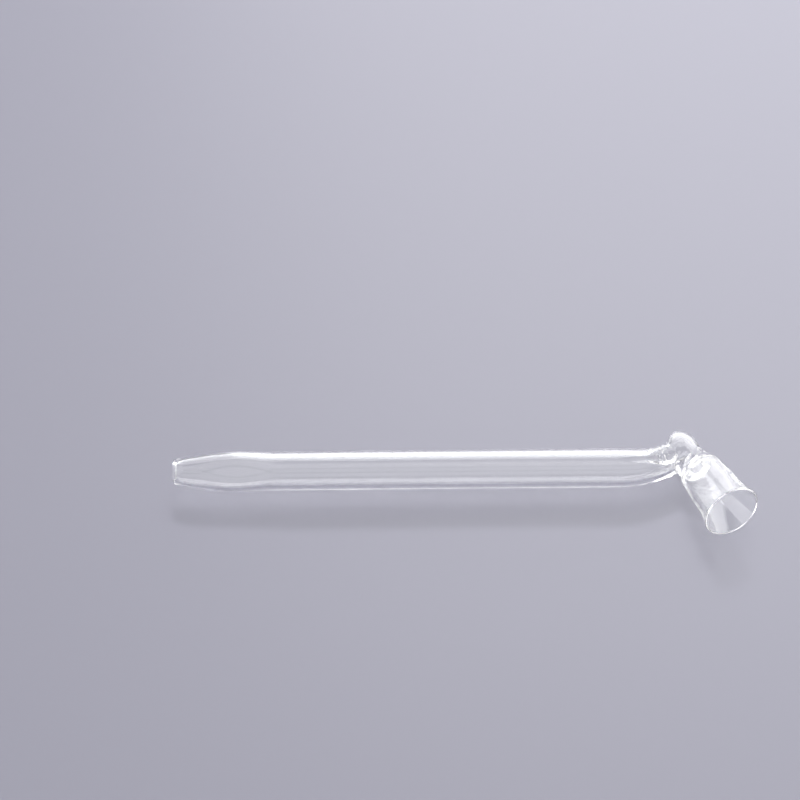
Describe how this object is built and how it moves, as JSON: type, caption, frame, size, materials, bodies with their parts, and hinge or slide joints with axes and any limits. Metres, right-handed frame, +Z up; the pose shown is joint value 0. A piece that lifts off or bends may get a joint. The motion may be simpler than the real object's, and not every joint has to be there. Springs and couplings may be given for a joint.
{
  "type": "glass pipe with bent cup",
  "caption": "Clear glass pipe: a straight tube with a pressed, fire-polished mouthpiece at one end and a sharply bent, swollen neck leading into a small flared cup at the other.",
  "frame": {"origin": "on the resting plane, under the middle of the lying pipe's box", "axes": "+X along the straight tube from the mouthpiece towards the cup, -Y the side the cup opens to, +Z up"},
  "size_m": [0.1192, 0.0256, 0.012],
  "materials": {
    "clear_glass": "clear, fire polished, with faint lines along the drawn tube"
  },
  "bodies": {
    "root": {"glass_pipe": "clear_glass"}
  },
  "joints": []
}
